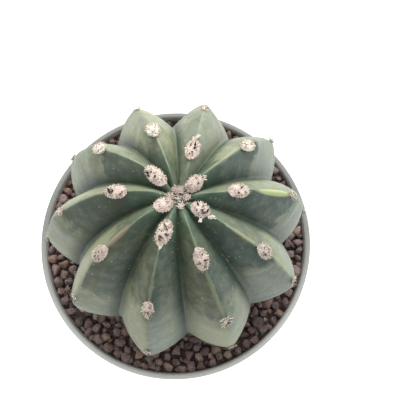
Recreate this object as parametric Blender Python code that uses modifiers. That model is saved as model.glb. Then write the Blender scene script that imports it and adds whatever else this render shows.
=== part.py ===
"""A squat ten-ribbed globe cactus in a round plastic nursery pot, with potting mix under a layer of lava grit.

The frame's origin is the middle of the pot's foot, on the surface that it stands on, with +Z up.
The front of the plant faces -Y. Everything is in metres.
"""

import math
import random
from collections import namedtuple

import bmesh
import bpy
from mathutils import Euler, Matrix, Vector

# The pot: its rim is 105 mm across, the size that growers call a 10.5 cm pot
RIM_RADIUS = 0.0525
POT_HEIGHT = 0.090
LIP_WIDTH = 0.0018
LIP_ROUNDING = 0.0005
WALL = 0.0015
COLLAR_HEIGHT = 0.0175
COLLAR_TAPER = 0.0008
COLLAR_STEP = 0.0020
FOOT_RADIUS = 0.0375
FOOT_WIDTH = 0.0042
FLOOR_LEVEL = 0.0040
FLOOR_THICKNESS = 0.0018
DRAIN_HOLES = 6
DRAIN_RADIUS = 0.0035
DRAIN_CIRCLE = 0.0225
POT_SIDES = 48

# What fills the pot
GAP = 0.0003
MIX_TOP = 0.0762
GRIT_TOP = 0.0810
GRAIN_SIZE = 0.0050
GRAIN_SPACING = 0.0048
GRAIN_HEIGHT = 0.0024
GRAIN_ROOT = 0.0012

# The cactus stands a little to one side and leans a little; its own origin is where it meets the grit
PLANT_PLACE = (0.0015, -0.0002, 0.08475)
PLANT_LEAN = (math.radians(-2.1), math.radians(1.5), 0.0)
CREST_REACH = 0.0446
VALLEY_REACH = 0.0362
WIDEST_LEVEL = 0.0242
CREST_TOP = 0.0664
UNDERSIDE = -0.0115
CROWN_DIMPLE = 0.0032
CROWN_WIDTH = 0.0068
CREST_CURVE = (2.28, 1.89)
VALLEY_CURVE = (1.85, 1.60)
# How full the ribs' flanks are, near the crown and at the widest level: 1 is flat
RIB_FULLNESS = (1.20, 1.04)
ROOT_RADIUS = 0.0085
ROOT_TIP = -0.0300
ROOT_OVERLAP = 0.0060

# Each rib: the way it faces at its widest, how far it twists on its way to the crown, its reach
# against the common one, and how far down its crest the first full areole sits
Rib = namedtuple("Rib", "azimuth twist reach first")
RIBS = (
    Rib(9, -3, 1.00, 0.0182),
    Rib(42, -2, 1.00, 0.0064),
    Rib(78, -6, 1.00, 0.0152),
    Rib(112, -5, 0.99, 0.0248),
    Rib(149, -15, 1.00, 0.0092),
    Rib(185, -17, 1.03, 0.0184),
    Rib(219, -11, 1.00, 0.0052),
    Rib(257, -9, 1.00, 0.0116),
    Rib(294, -6, 1.00, 0.0194),
    Rib(332, -4, 0.99, 0.0078),
)
AREOLE_STEPS = (0.0, 0.0235, 0.0490, 0.0690)
YOUNG_AREOLE = 0.0028
YOUNG_FROM = 0.0150
KNOT_SIZE = (0.0040, 0.0040, 0.0015)
LOWEST_AREOLE = 0.0040
RIB_HUMP = 0.0007
HUMP_LENGTH = 0.0050
SPINES_EACH = 3
SPINE_LENGTH = 0.0022
SPINE_RADIUS = 0.00028

# How finely the cactus is faceted
SIDES_EACH = 6
RINGS_ABOVE = 16
RINGS_BELOW = 8
CREST_STEPS = 240


def collection(name, hidden=False):
    """A new collection, linked under the scene's own."""
    made = bpy.data.collections.new(name)
    bpy.context.scene.collection.children.link(made)
    made.hide_render = hidden
    return made


def material(name, colour, roughness, metallic=0.0):
    """A Principled material with one colour."""
    made = bpy.data.materials.new(name)
    made.use_nodes = True
    shader = made.node_tree.nodes["Principled BSDF"]
    shader.inputs["Base Color"].default_value = (*colour, 1.0)
    shader.inputs["Roughness"].default_value = roughness
    shader.inputs["Metallic"].default_value = metallic
    return made


def mesh_object(name, shape, into, finish=None):
    """An object that holds a bmesh, which is freed."""
    bmesh.ops.recalc_face_normals(shape, faces=shape.faces)
    mesh = bpy.data.meshes.new(name)
    shape.to_mesh(mesh)
    shape.free()
    made = bpy.data.objects.new(name, mesh)
    into.objects.link(made)
    if finish:
        mesh.materials.append(finish)
    return made


def turned(name, profile, into, finish=None, sides=POT_SIDES):
    """A solid turned round Z from an open profile that starts and ends on the axis."""
    mesh = bpy.data.meshes.new(name)
    points = [(radius, 0.0, height) for radius, height in profile]
    mesh.from_pydata(points, [(i, i + 1) for i in range(len(points) - 1)], [])
    made = bpy.data.objects.new(name, mesh)
    into.objects.link(made)
    if finish:
        mesh.materials.append(finish)
    screw = made.modifiers.new("turn", "SCREW")
    screw.steps = screw.render_steps = sides
    screw.use_merge_vertices = True
    screw.merge_threshold = 0.00001
    return made


def apply_modifiers(made):
    """Makes the evaluated mesh the object's own."""
    graph = bpy.context.evaluated_depsgraph_get()
    mesh = bpy.data.meshes.new_from_object(made.evaluated_get(graph))
    made.modifiers.clear()
    made.data = mesh
    return made


def join(made, repeats, operation="UNION"):
    """Joins or cuts an object with everything in a collection, then removes the collection's objects."""
    boolean = made.modifiers.new("join", "BOOLEAN")
    boolean.operation = operation
    boolean.operand_type = "COLLECTION"
    boolean.collection = repeats
    boolean.solver = "EXACT"
    apply_modifiers(made)
    for used in list(repeats.objects):
        bpy.data.objects.remove(used)
    bpy.data.collections.remove(repeats)
    return made


def lip_corner(radius, level, start):
    """Three points round a quarter of the lip's rounded edge, from the start angle onwards."""
    corner = []
    for step in range(3):
        angle = start - step * math.pi / 4
        corner.append(
            (radius + LIP_ROUNDING * math.cos(angle), level + LIP_ROUNDING * math.sin(angle))
        )
    return corner


def inner_radius(level):
    """The pot's inside radius at a height: a steep collar over a tapered body."""
    rim = RIM_RADIUS - LIP_WIDTH
    ledge = POT_HEIGHT - COLLAR_HEIGHT + WALL
    if level >= ledge:
        return rim - COLLAR_TAPER * (POT_HEIGHT - level) / COLLAR_HEIGHT
    shoulder = rim - COLLAR_TAPER - COLLAR_STEP
    foot = FOOT_RADIUS - WALL
    return foot + (shoulder - foot) * (level - FLOOR_LEVEL) / (ledge - FLOOR_LEVEL)


def pot(into, finish):
    """The pot: one thin turned wall with a collar, a foot ring and drain holes."""
    ledge = POT_HEIGHT - COLLAR_HEIGHT + WALL
    skirt = POT_HEIGHT - COLLAR_HEIGHT
    inside = RIM_RADIUS - LIP_WIDTH + LIP_ROUNDING
    outside = RIM_RADIUS - LIP_ROUNDING
    profile = [(0.0, FLOOR_LEVEL), (FOOT_RADIUS - WALL, FLOOR_LEVEL)]
    profile += [(inner_radius(ledge - 0.0012), ledge - 0.0012), (inner_radius(ledge), ledge)]
    profile += lip_corner(inside, POT_HEIGHT - LIP_ROUNDING, math.pi)
    profile += lip_corner(outside, POT_HEIGHT - LIP_ROUNDING, math.pi / 2)
    profile += [
        (RIM_RADIUS - COLLAR_TAPER, skirt),
        (inner_radius(skirt - WALL) + WALL, skirt),
        (FOOT_RADIUS + 0.0004, 0.0006),
        (FOOT_RADIUS, 0.0),
        (FOOT_RADIUS - FOOT_WIDTH, 0.0),
        (FOOT_RADIUS - FOOT_WIDTH, FLOOR_LEVEL - FLOOR_THICKNESS),
        (0.0, FLOOR_LEVEL - FLOOR_THICKNESS),
    ]
    made = apply_modifiers(turned("pot", profile, into, finish))
    holes = collection("drain_holes", hidden=True)
    for step in range(DRAIN_HOLES):
        angle = math.tau * (step + 0.5) / DRAIN_HOLES
        bpy.ops.mesh.primitive_cylinder_add(
            vertices=16,
            radius=DRAIN_RADIUS,
            depth=4 * FLOOR_THICKNESS,
            location=(
                DRAIN_CIRCLE * math.cos(angle),
                DRAIN_CIRCLE * math.sin(angle),
                FLOOR_LEVEL - FLOOR_THICKNESS / 2,
            ),
        )
        hole = bpy.context.object
        for owner in list(hole.users_collection):
            owner.objects.unlink(hole)
        holes.objects.link(hole)
    join(made, holes, "DIFFERENCE")
    made.data.shade_smooth()
    made.data.set_sharp_from_angle(angle=math.radians(35))
    return made


def outline(polar, reach, top, curve):
    """Radius and height on one meridian, from 0 at the crown through the widest level to pi underneath."""
    out, up = curve
    height = top - WIDEST_LEVEL if polar < math.pi / 2 else WIDEST_LEVEL - UNDERSIDE
    rise = math.copysign(abs(math.cos(polar)) ** (2 / up), math.cos(polar))
    return reach * max(math.sin(polar), 0.0) ** (2 / out), WIDEST_LEVEL + height * rise


def crest_point(rib, polar):
    """A point of a rib's crest in its own upright plane. The crown sinks between the ribs."""
    radius, level = outline(polar, CREST_REACH * rib.reach, CREST_TOP, CREST_CURVE)
    if polar < math.pi / 2:
        level -= CROWN_DIMPLE * math.exp(-((radius / CROWN_WIDTH) ** 2))
    return radius, level


def valley_point(polar):
    """A point of the crease between two ribs."""
    return outline(polar, VALLEY_REACH, CREST_TOP - CROWN_DIMPLE, VALLEY_CURVE)


def crest_azimuth(rib, polar):
    """The way a crest faces at a level: ribs turn a little as they near the crown."""
    share = 1 - crest_point(rib, polar)[0] / (CREST_REACH * rib.reach)
    return math.radians(rib.azimuth + rib.twist * (share if polar < math.pi / 2 else 0.0))


def crest_line(rib):
    """The distance along the crest from the crown, at evenly spaced polar angles."""
    line = [(0.0, 0.0)]
    last = crest_point(rib, 0.0)
    for step in range(1, CREST_STEPS + 1):
        polar = math.pi * step / CREST_STEPS
        here = crest_point(rib, polar)
        line.append((line[-1][0] + math.dist(last, here), polar))
        last = here
    return line


def polar_at(line, distance):
    """The polar angle at a distance along a crest."""
    for (before, low), (after, high) in zip(line, line[1:]):
        if distance <= after:
            return low + (high - low) * (distance - before) / (after - before)
    return math.pi


def areoles(rib):
    """The distances down a crest at which its areoles sit, youngest first."""
    line = crest_line(rib)
    found = [YOUNG_AREOLE] if rib.first > YOUNG_FROM else []
    for step in AREOLE_STEPS:
        distance = rib.first + step
        if crest_point(rib, polar_at(line, distance))[1] > LOWEST_AREOLE or step == 0.0:
            found.append(distance)
    return found


def hump(distance, spots):
    """How far a rib swells just below each areole."""
    swell = sum(math.exp(-(((distance - spot) / HUMP_LENGTH - 1) ** 2)) for spot in spots)
    return RIB_HUMP * swell


def fullness(polar):
    """How full a rib's flanks are at a level."""
    near, wide = RIB_FULLNESS
    down = (polar / math.pi - 0.22) / 0.28
    return near + (wide - near) * max(0.0, min(1.0, down))


def skin_point(index, share, polar, distance, spots):
    """A point of the skin: share runs from -1 and 1 in the two creases to 0 on the rib's crest."""
    rib = RIBS[index]
    crest = crest_azimuth(rib, polar)
    if share < 0:
        other = crest_azimuth(RIBS[index - 1], polar) - (math.tau if index == 0 else 0.0)
    else:
        following = (index + 1) % len(RIBS)
        other = crest_azimuth(RIBS[following], polar) + (math.tau if following == 0 else 0.0)
    azimuth = crest + abs(share) * (other - crest) / 2
    height = 1 - abs(share) ** fullness(polar)
    out, up = crest_point(rib, polar)
    low_out, low_up = valley_point(polar)
    radius = low_out + (out - low_out) * height
    level = low_up + (up - low_up) * height
    swell = hump(distance, spots) * height * height
    radius += swell * math.sin(polar)
    level += swell * math.cos(polar)
    return Vector((radius * math.cos(azimuth), radius * math.sin(azimuth), level))


def ribbed_globe(name, into, finish=None, grown=0.0):
    """The body's skin: a sphere whose points are moved on to ribs. Grown makes it thicker all over."""
    sides = SIDES_EACH * len(RIBS)
    rings = RINGS_ABOVE + RINGS_BELOW
    lines = [crest_line(rib) for rib in RIBS]
    spots = [areoles(rib) for rib in RIBS]
    shape = bmesh.new()
    bmesh.ops.create_uvsphere(shape, u_segments=sides, v_segments=rings, radius=1.0)
    for point in shape.verts:
        ring = round(math.acos(max(-1.0, min(1.0, point.co.z))) / math.pi * rings)
        turn = round(math.atan2(point.co.y, point.co.x) / math.tau * sides) % sides
        if ring <= RINGS_ABOVE:
            polar = math.pi / 2 * (ring / RINGS_ABOVE) ** 1.15
        else:
            polar = math.pi / 2 * (1 + (ring - RINGS_ABOVE) / RINGS_BELOW)
        index, side = divmod(turn, SIDES_EACH)
        even = 2 * side / SIDES_EACH - 1
        share = math.copysign(abs(even) ** 1.3, even)
        step = round(polar / math.pi * CREST_STEPS)
        place = skin_point(index, share, polar, lines[index][step][0], spots[index])
        outward = Vector((place.x, place.y, place.z - WIDEST_LEVEL)).normalized()
        point.co = place + grown * outward
    return mesh_object(name, shape, into, finish)


def crest_frame(rib, distance, line):
    """The matrix of a spot on a crest: X down the rib, Y across it, Z out of the skin."""
    polar = polar_at(line, distance)
    radius, level = crest_point(rib, polar)
    after_radius, after_level = crest_point(rib, polar + 0.02)
    azimuth = crest_azimuth(rib, polar)
    around = Matrix.Rotation(azimuth, 4, "Z")
    down = Vector((after_radius - radius, 0.0, after_level - level)).normalized()
    across = Vector((0.0, 1.0, 0.0))
    out = down.cross(across)
    swell = hump(distance, areoles(rib))
    turn = Matrix((down, across, out)).transposed().to_4x4()
    return around @ Matrix.Translation((radius, 0.0, level)) @ Matrix.Translation(out * swell) @ turn


def wool_size(distance):
    """Length, width and height of the wool on an areole: full near the crown, worn low down."""
    if distance < 0.0040:
        return 0.0028, 0.0024, 0.0016
    if distance < 0.0085:
        return 0.0060, 0.0044, 0.0023
    length = 0.0080 - 0.0042 * min(1.0, (distance - 0.0085) / 0.055)
    width = 0.0047 - 0.0018 * min(1.0, distance / 0.070)
    return length, width, 0.0024 - 0.0014 * min(1.0, distance / 0.070)


def wool_pad(frame, length, width, height, into):
    """One areole's cushion of wool, sunk into the crest."""
    pad = bmesh.new()
    bmesh.ops.create_uvsphere(pad, u_segments=8, v_segments=4, radius=1.0)
    sink = Matrix.Translation((0.0, 0.0, -0.3 * height))
    pad.transform(frame @ sink @ Matrix.Diagonal((length / 2, width / 2, height, 1.0)))
    mesh_object("wool", pad, into)


def spine(frame, root, lean, into):
    """One short spine that stands in the wool."""
    shape = bmesh.new()
    bmesh.ops.create_cone(
        shape,
        cap_ends=True,
        segments=3,
        radius1=SPINE_RADIUS,
        radius2=SPINE_RADIUS * 0.15,
        depth=SPINE_LENGTH,
    )
    rise = Matrix.Translation((0.0, 0.0, SPINE_LENGTH * 0.32))
    shape.transform(frame @ Matrix.Translation(root) @ Euler(lean).to_matrix().to_4x4() @ rise)
    mesh_object("spine", shape, into)


def crown_knot(into):
    """The young wool that fills the sunken crown."""
    knot = bmesh.new()
    bmesh.ops.create_uvsphere(knot, u_segments=10, v_segments=4, radius=1.0)
    bmesh.ops.scale(knot, vec=KNOT_SIZE, verts=knot.verts)
    bmesh.ops.translate(knot, vec=(0.0, 0.0, CREST_TOP - CROWN_DIMPLE - 0.0003), verts=knot.verts)
    mesh_object("knot", knot, into)


def root(into, grown=0.0):
    """The root's neck, which runs down from the body into the mix. Grown makes it wider and longer."""
    length = UNDERSIDE - ROOT_TIP + ROOT_OVERLAP
    shape = bmesh.new()
    bmesh.ops.create_cone(
        shape,
        cap_ends=True,
        segments=16,
        radius1=ROOT_RADIUS * 0.45 + grown,
        radius2=ROOT_RADIUS + grown,
        depth=length,
    )
    shape.transform(Matrix.Translation((0.0, 0.0, ROOT_TIP + length / 2 - grown)))
    mesh_object("root", shape, into)


def stand_in_pot(made):
    """Moves and leans what grows into its place in the pot."""
    made.location = PLANT_PLACE
    made.rotation_euler = PLANT_LEAN
    return made


def cactus(into, finish):
    """The plant: ribbed body and root, with the woolly areoles and their spines grown on to the crests."""
    made = ribbed_globe("cactus", into, finish)
    grown = collection("wool_and_spines", hidden=True)
    draw = random.Random(10)
    for rib in RIBS:
        line = crest_line(rib)
        for distance in areoles(rib):
            frame = crest_frame(rib, distance, line)
            length, width, height = wool_size(distance)
            wool_pad(frame, length, width, height, grown)
            if distance == YOUNG_AREOLE:
                continue
            for step in range(SPINES_EACH):
                along = (step / (SPINES_EACH - 1) - 0.5) * 0.6 * length
                aside = draw.uniform(0.35, 0.75) * (-1) ** step
                lean = (-aside, draw.uniform(-0.4, 0.5), draw.uniform(0.0, 1.0))
                spine(frame, (along, aside * width * 0.2, 0.45 * height), lean, grown)
    crown_knot(grown)
    root(grown)
    join(made, grown)
    made.data.shade_smooth()
    made.data.set_sharp_from_angle(angle=math.radians(28))
    return stand_in_pot(made)


def plant_cutter(into):
    """The hollow that the plant presses into the mix and the grit, with the gap round it."""
    globe = ribbed_globe("plant_hollow", into, grown=GAP * 1.3)
    stump = collection("stump", hidden=True)
    root(stump, grown=GAP * 1.3)
    join(globe, stump)
    return stand_in_pot(globe)


def hollow_out(made):
    """Cuts the plant's hollow from what it stands in."""
    hollow = collection("hollow", hidden=True)
    plant_cutter(hollow)
    bpy.context.view_layer.update()
    return join(made, hollow, "DIFFERENCE")


def potting_mix(into, finish):
    """The dark mix that fills the pot up to the grit, with the plant's hollow in it."""
    bottom = FLOOR_LEVEL + GAP
    ledge = POT_HEIGHT - COLLAR_HEIGHT + WALL
    profile = [
        (0.0, MIX_TOP),
        (inner_radius(MIX_TOP) - GAP, MIX_TOP),
        (inner_radius(ledge) - GAP, ledge + GAP),
        (inner_radius(ledge - 0.0012) - GAP, ledge - 0.0012 + GAP),
        (FOOT_RADIUS - WALL - GAP, bottom),
        (0.0, bottom),
    ]
    return hollow_out(apply_modifiers(turned("potting_mix", profile, into, finish)))


def lava_grit(into, finish):
    """The top dressing: a bed of grit whose grains stand out of it, packed in a spiral and jittered."""
    bottom = MIX_TOP + GAP
    profile = [
        (0.0, GRIT_TOP),
        (inner_radius(GRIT_TOP) - GAP, GRIT_TOP),
        (inner_radius(bottom) - GAP, bottom),
        (0.0, bottom),
    ]
    made = apply_modifiers(turned("lava_grit", profile, into, finish))
    grains = collection("grains", hidden=True)
    draw = random.Random(4)
    edge = inner_radius(GRIT_TOP) - GAP - GRAIN_SIZE * 0.56
    turn = math.pi * (3 - math.sqrt(5))
    count = round(math.pi * edge**2 / (0.866 * GRAIN_SPACING**2))
    for number in range(count):
        radius = edge * math.sqrt((number + 0.5) / count)
        if radius < CREST_REACH * 0.64:
            continue
        angle = number * turn
        size = GRAIN_SIZE * draw.uniform(0.85, 1.05)
        grain = bmesh.new()
        bmesh.ops.create_cone(
            grain,
            cap_ends=True,
            segments=draw.choice((5, 6)),
            radius1=size * 0.58,
            radius2=size * 0.28,
            depth=GRAIN_HEIGHT + GRAIN_ROOT,
        )
        uneven = Matrix.Diagonal([draw.uniform(0.88, 1.08) for _ in range(3)]).to_4x4()
        tilt = Euler((draw.uniform(-0.35, 0.35), draw.uniform(-0.35, 0.35), 0.0)).to_matrix().to_4x4()
        spin = Matrix.Rotation(draw.uniform(0.0, math.tau), 4, "Z")
        place = Vector((radius * math.cos(angle), radius * math.sin(angle), 0.0))
        place += Vector((draw.uniform(-1, 1), draw.uniform(-1, 1), draw.uniform(-1, 1))) * 0.0004
        place.xy *= min(1.0, (edge + 0.0002) / place.xy.length)
        place.z += GRIT_TOP + (GRAIN_HEIGHT - GRAIN_ROOT) / 2
        grain.transform(Matrix.Translation(place) @ tilt @ spin @ uneven)
        mesh_object("grain", grain, grains)
    join(made, grains)
    return hollow_out(made)


def main():
    for leftover in list(bpy.data.objects):
        bpy.data.objects.remove(leftover)
    potted = collection("potted_globe_cactus")
    pot(potted, material("pale_grey_plastic", (0.47, 0.48, 0.46), 0.45))
    potting_mix(potted, material("dark_potting_mix", (0.05, 0.035, 0.025), 0.95))
    lava_grit(potted, material("red_brown_lava", (0.10, 0.06, 0.05), 0.9))
    cactus(potted, material("grey_green_skin", (0.15, 0.21, 0.13), 0.6))


main()
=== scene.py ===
"""Dresses the potted globe cactus: its fine shapes, each piece's finish, a plain studio and the camera.

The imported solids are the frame, in metres, with the middle of the pot's foot at the origin and +Z up.
"""

import math
import random
from collections import namedtuple

import bmesh
import bpy
import numpy as np
from mathutils import Euler, Matrix, Vector, noise
from mathutils.bvhtree import BVHTree


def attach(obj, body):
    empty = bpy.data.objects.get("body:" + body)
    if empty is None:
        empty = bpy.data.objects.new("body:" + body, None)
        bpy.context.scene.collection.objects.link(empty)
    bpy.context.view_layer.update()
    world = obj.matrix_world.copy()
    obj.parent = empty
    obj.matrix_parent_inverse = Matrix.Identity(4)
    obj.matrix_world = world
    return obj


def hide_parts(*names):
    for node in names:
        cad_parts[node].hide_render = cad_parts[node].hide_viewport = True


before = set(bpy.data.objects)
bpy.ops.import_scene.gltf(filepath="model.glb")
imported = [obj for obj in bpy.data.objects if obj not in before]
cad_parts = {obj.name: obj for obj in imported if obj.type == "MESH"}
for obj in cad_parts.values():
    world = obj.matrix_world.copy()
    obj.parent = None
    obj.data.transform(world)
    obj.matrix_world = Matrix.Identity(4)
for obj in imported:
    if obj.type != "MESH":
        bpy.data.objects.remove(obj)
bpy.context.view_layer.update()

# The studio: a plain white table under soft light. The light is strongest from behind the plant and
# from round the horizon, and weakest from straight above, as in a bright room seen from over the pot.

bpy.context.scene.view_settings.view_transform = "Standard"

bpy.ops.object.camera_add(location=(0.0095, -0.0360, 0.3052), rotation=(math.radians(13.47), 0.0, 0.0))
camera = bpy.context.object
camera.data.lens = 50.0
camera.data.sensor_width = 36.0
camera.data.clip_start = 0.01
bpy.context.scene.camera = camera

bpy.ops.mesh.primitive_plane_add(size=8.0, location=(0.0, 0.0, -0.0002))
table = bpy.context.object
table.name = "table"
white_table = bpy.data.materials.new("white_table")
white_table.use_nodes = True
table_shader = white_table.node_tree.nodes["Principled BSDF"]
table_shader.inputs["Base Color"].default_value = (0.93, 0.93, 0.93, 1.0)
table_shader.inputs["Roughness"].default_value = 0.9
table_shader.inputs["Emission Color"].default_value = (1.0, 1.0, 1.0, 1.0)
table_shader.inputs["Emission Strength"].default_value = 0.55
table.data.materials.append(white_table)


def put(tree, kind, sockets=None, **settings):
    """Adds a shader node. A socket is given a value, or another node's output to be linked to."""
    made = tree.nodes.new("ShaderNode" + kind)
    for name, value in settings.items():
        setattr(made, name, value)
    for name, value in (sockets or {}).items():
        if isinstance(value, bpy.types.NodeSocket):
            tree.links.new(value, made.inputs[name])
        else:
            made.inputs[name].default_value = value
    return made


def times(tree, value, *others):
    """The product of values."""
    for other in others:
        value = put(tree, "Math", {0: value, 1: other}, operation="MULTIPLY").outputs[0]
    return value


room = bpy.data.worlds.new("bright_room")
room.use_nodes = True
bpy.context.scene.world = room
sky = room.node_tree
_, sky_north, sky_up = put(sky, "SeparateXYZ", {0: put(sky, "TexCoord").outputs["Generated"]}).outputs
from_behind = put(
    sky, "MapRange", {"Value": sky_north, "From Min": -0.9, "From Max": 0.9, "To Min": 0.65, "To Max": 1.45}
)
from_round = put(
    sky, "MapRange", {"Value": sky_up, "From Min": 0.05, "From Max": 0.90, "To Min": 1.10, "To Max": 0.95}
)
sky_strength = times(sky, from_round.outputs[0], from_behind.outputs[0])
sky.links.new(sky_strength, sky.nodes["Background"].inputs["Strength"])
sky.nodes["Background"].inputs["Color"].default_value = (1.0, 1.0, 1.0, 1.0)

bpy.ops.object.light_add(type="AREA", location=(0.10, 0.85, 0.80))
window = bpy.context.object
window.name = "window_light"
window.data.shape = "RECTANGLE"
window.data.size = 1.1
window.data.size_y = 0.6
window.data.energy = 15.0
window.rotation_euler = (Vector((0.0, 0.0, 0.1)) - window.location).to_track_quat("-Z", "Y").to_euler()

# The pot: a thin plastic nursery pot, moulded in one piece with a rounded lip, a steep collar and a foot
# ring, and with six drain holes. It is turned from its profile and stands loose on its foot.

RIM_RADIUS = 0.0528
LIP_INSIDE = 0.0507
POT_HEIGHT = 0.0900
COLLAR_HEIGHT = 0.0175
COLLAR_FOOT = POT_HEIGHT - COLLAR_HEIGHT
COLLAR_TAPER = 0.0008
INSIDE_STEP = 0.0740
FLOOR_LEVEL = 0.0040
FLOOR_RADIUS = 0.0360
BODY_TAPER = 0.0119
DRAIN_HOLES = 6
DRAIN_RADIUS = 0.0035
DRAIN_CIRCLE = 0.0225


def inner_radius(level):
    """The pot's inside radius at a height: a steep collar over a tapered body."""
    if level >= INSIDE_STEP:
        return LIP_INSIDE - COLLAR_TAPER * (POT_HEIGHT - level) / COLLAR_HEIGHT
    return FLOOR_RADIUS + BODY_TAPER * (level - FLOOR_LEVEL) / (INSIDE_STEP - FLOOR_LEVEL)


def rounded(corners, sides=4):
    """A profile whose corners (radius, height, rounding) are each cut to a short arc of points."""
    profile = []
    for index, (radius, level, size) in enumerate(corners):
        here = Vector((radius, level))
        if size == 0.0:
            profile.append(here)
            continue
        before = (Vector(corners[index - 1][:2]) - here).normalized() * size
        after = (Vector(corners[index + 1][:2]) - here).normalized() * size
        for step in range(sides + 1):
            t = step / sides
            profile.append(here + before * (1 - t) ** 2 + after * t**2)
    return profile


def turned(name, profile, sides):
    """Turns a wall from its profile: a ring is extruded and resized step by step, and its ends are welded."""
    start_radius, start_level = profile[0]
    bpy.ops.mesh.primitive_circle_add(vertices=sides, radius=start_radius, location=(0.0, 0.0, start_level))
    piece = bpy.context.object
    piece.name = name
    bpy.ops.object.mode_set(mode="EDIT")
    bpy.ops.mesh.select_all(action="SELECT")
    for (radius, level), (next_radius, next_level) in zip(profile, profile[1:]):
        bpy.ops.mesh.extrude_edges_move(TRANSFORM_OT_translate={"value": (0.0, 0.0, next_level - level)})
        size = next_radius / radius
        bpy.ops.transform.resize(value=(size, size, 1.0), center_override=(0.0, 0.0, 0.0))
    bpy.ops.mesh.select_all(action="SELECT")
    bpy.ops.mesh.remove_doubles(threshold=0.00001)
    bpy.ops.mesh.normals_make_consistent(inside=False)
    bpy.ops.object.mode_set(mode="OBJECT")
    bpy.ops.object.transform_apply(location=True, rotation=True, scale=True)
    return piece


# The wall from the middle of its floor, up the inside, over the lip and down the outside to the foot:
# radius, height and rounding at each corner
POT_CORNERS = (
    (0.0000001, FLOOR_LEVEL, 0.0),
    (FLOOR_RADIUS, FLOOR_LEVEL, 0.0012),
    (inner_radius(0.0728), 0.0728, 0.0004),
    (inner_radius(INSIDE_STEP), INSIDE_STEP, 0.0004),
    (LIP_INSIDE, POT_HEIGHT, 0.0007),
    (RIM_RADIUS, POT_HEIGHT, 0.0007),
    (0.0517, COLLAR_FOOT, 0.0004),
    (0.0489, COLLAR_FOOT, 0.0006),
    (0.0379, 0.0006, 0.0004),
    (0.0375, 0.0000, 0.0003),
    (0.0333, 0.0000, 0.0003),
    (0.0331, 0.0022, 0.0004),
    (0.0030, 0.0022, 0.0001),
    (0.0029, 0.0018, 0.0001),
    (0.0000001, 0.0018, 0.0),
)
pot = turned("pot_shell", rounded(POT_CORNERS), 192)

for step in range(DRAIN_HOLES):
    around = math.tau * (step + 0.5) / DRAIN_HOLES
    bpy.ops.mesh.primitive_cylinder_add(
        vertices=32,
        radius=DRAIN_RADIUS,
        depth=0.0080,
        location=(DRAIN_CIRCLE * math.cos(around), DRAIN_CIRCLE * math.sin(around), FLOOR_LEVEL),
    )
    drain = bpy.context.object
    cut = pot.modifiers.new("drain_hole", "BOOLEAN")
    cut.operation = "DIFFERENCE"
    cut.solver = "EXACT"
    cut.object = drain
    bpy.context.view_layer.objects.active = pot
    bpy.ops.object.modifier_apply(modifier=cut.name)
    bpy.data.objects.remove(drain)
pot.select_set(True)
bpy.ops.object.shade_smooth_by_angle(angle=math.radians(40))


def ramp(tree, value, low, high, start=0.0, end=1.0):
    """A value that goes smoothly from start to end as another goes from low to high."""
    sockets = {"Value": value, "From Min": low, "From Max": high, "To Min": start, "To Max": end}
    return put(tree, "MapRange", sockets, interpolation_type="SMOOTHSTEP").outputs[0]


def plus(tree, value, *others):
    """The sum of values."""
    for other in others:
        value = put(tree, "Math", {0: value, 1: other}, operation="ADD").outputs[0]
    return value


def minus(tree, first, second):
    """The first value less the second."""
    return put(tree, "Math", {0: first, 1: second}, operation="SUBTRACT").outputs[0]


def length_of(tree, *parts):
    """The length of a vector that is given by its parts."""
    vector = put(tree, "CombineXYZ", dict(enumerate(parts))).outputs[0]
    return put(tree, "VectorMath", {0: vector}, operation="LENGTH").outputs["Value"]


def rough_noise(tree, place, scale, detail, roughness):
    """Noise from 0 to 1. The scale is in repeats to the metre."""
    sockets = {"Vector": place, "Scale": scale, "Detail": detail, "Roughness": roughness}
    return put(tree, "TexNoise", sockets).outputs[0]


def blended(tree, share, first, second):
    """A colour between two colours."""
    return put(tree, "Mix", {0: share, 6: first, 7: second}, data_type="RGBA").outputs[2]


def attribute(tree, name):
    """The value that the mesh keeps under a name."""
    return put(tree, "Attribute", attribute_name=name).outputs["Fac"]


def new_finish(name, roughness, specular):
    """A material with its shader, its tree and its object coordinates."""
    made = bpy.data.materials.new(name)
    made.use_nodes = True
    tree = made.node_tree
    shader = tree.nodes["Principled BSDF"]
    shader.inputs["Roughness"].default_value = roughness
    shader.inputs["Specular IOR Level"].default_value = specular
    place = put(tree, "TexCoord").outputs["Object"]
    return made, tree, shader, place


def bump(tree, shader, height, strength, distance, under=None):
    """Lays a relief on the shader's normal, over another one if that is given."""
    sockets = {"Height": height, "Strength": strength, "Distance": distance}
    if under:
        sockets["Normal"] = under
    normal = put(tree, "Bump", sockets).outputs[0]
    tree.links.new(normal, shader.inputs["Normal"])
    return normal


uneven = bpy.data.node_groups.new("uneven_tone", "ShaderNodeTree")
uneven.interface.new_socket("Place", in_out="INPUT", socket_type="NodeSocketVector")
uneven.interface.new_socket("Coarse Scale", in_out="INPUT", socket_type="NodeSocketFloat")
uneven.interface.new_socket("Fine Scale", in_out="INPUT", socket_type="NodeSocketFloat")
uneven.interface.new_socket("Patches", in_out="OUTPUT", socket_type="NodeSocketFloat")
uneven.interface.new_socket("Grain", in_out="OUTPUT", socket_type="NodeSocketFloat")
uneven_in = uneven.nodes.new("NodeGroupInput")
uneven_out = uneven.nodes.new("NodeGroupOutput")
spot, coarse_scale, fine_scale = uneven_in.outputs[:3]
patches = rough_noise(uneven, spot, coarse_scale, 3.0, 0.5)
grain = rough_noise(uneven, spot, fine_scale, 2.0, 0.5)
uneven.links.new(ramp(uneven, patches, 0.36, 0.64), uneven_out.inputs["Patches"])
uneven.links.new(ramp(uneven, grain, 0.30, 0.70), uneven_out.inputs["Grain"])


def uneven_tone(tree, place, coarse, fine):
    """Large patches and fine grain, both from 0 to 1. Scales are in repeats to the metre."""
    sockets = {"Place": place, "Coarse Scale": coarse, "Fine Scale": fine}
    made = put(tree, "Group", sockets, node_tree=uneven)
    return made.outputs["Patches"], made.outputs["Grain"]


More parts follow.
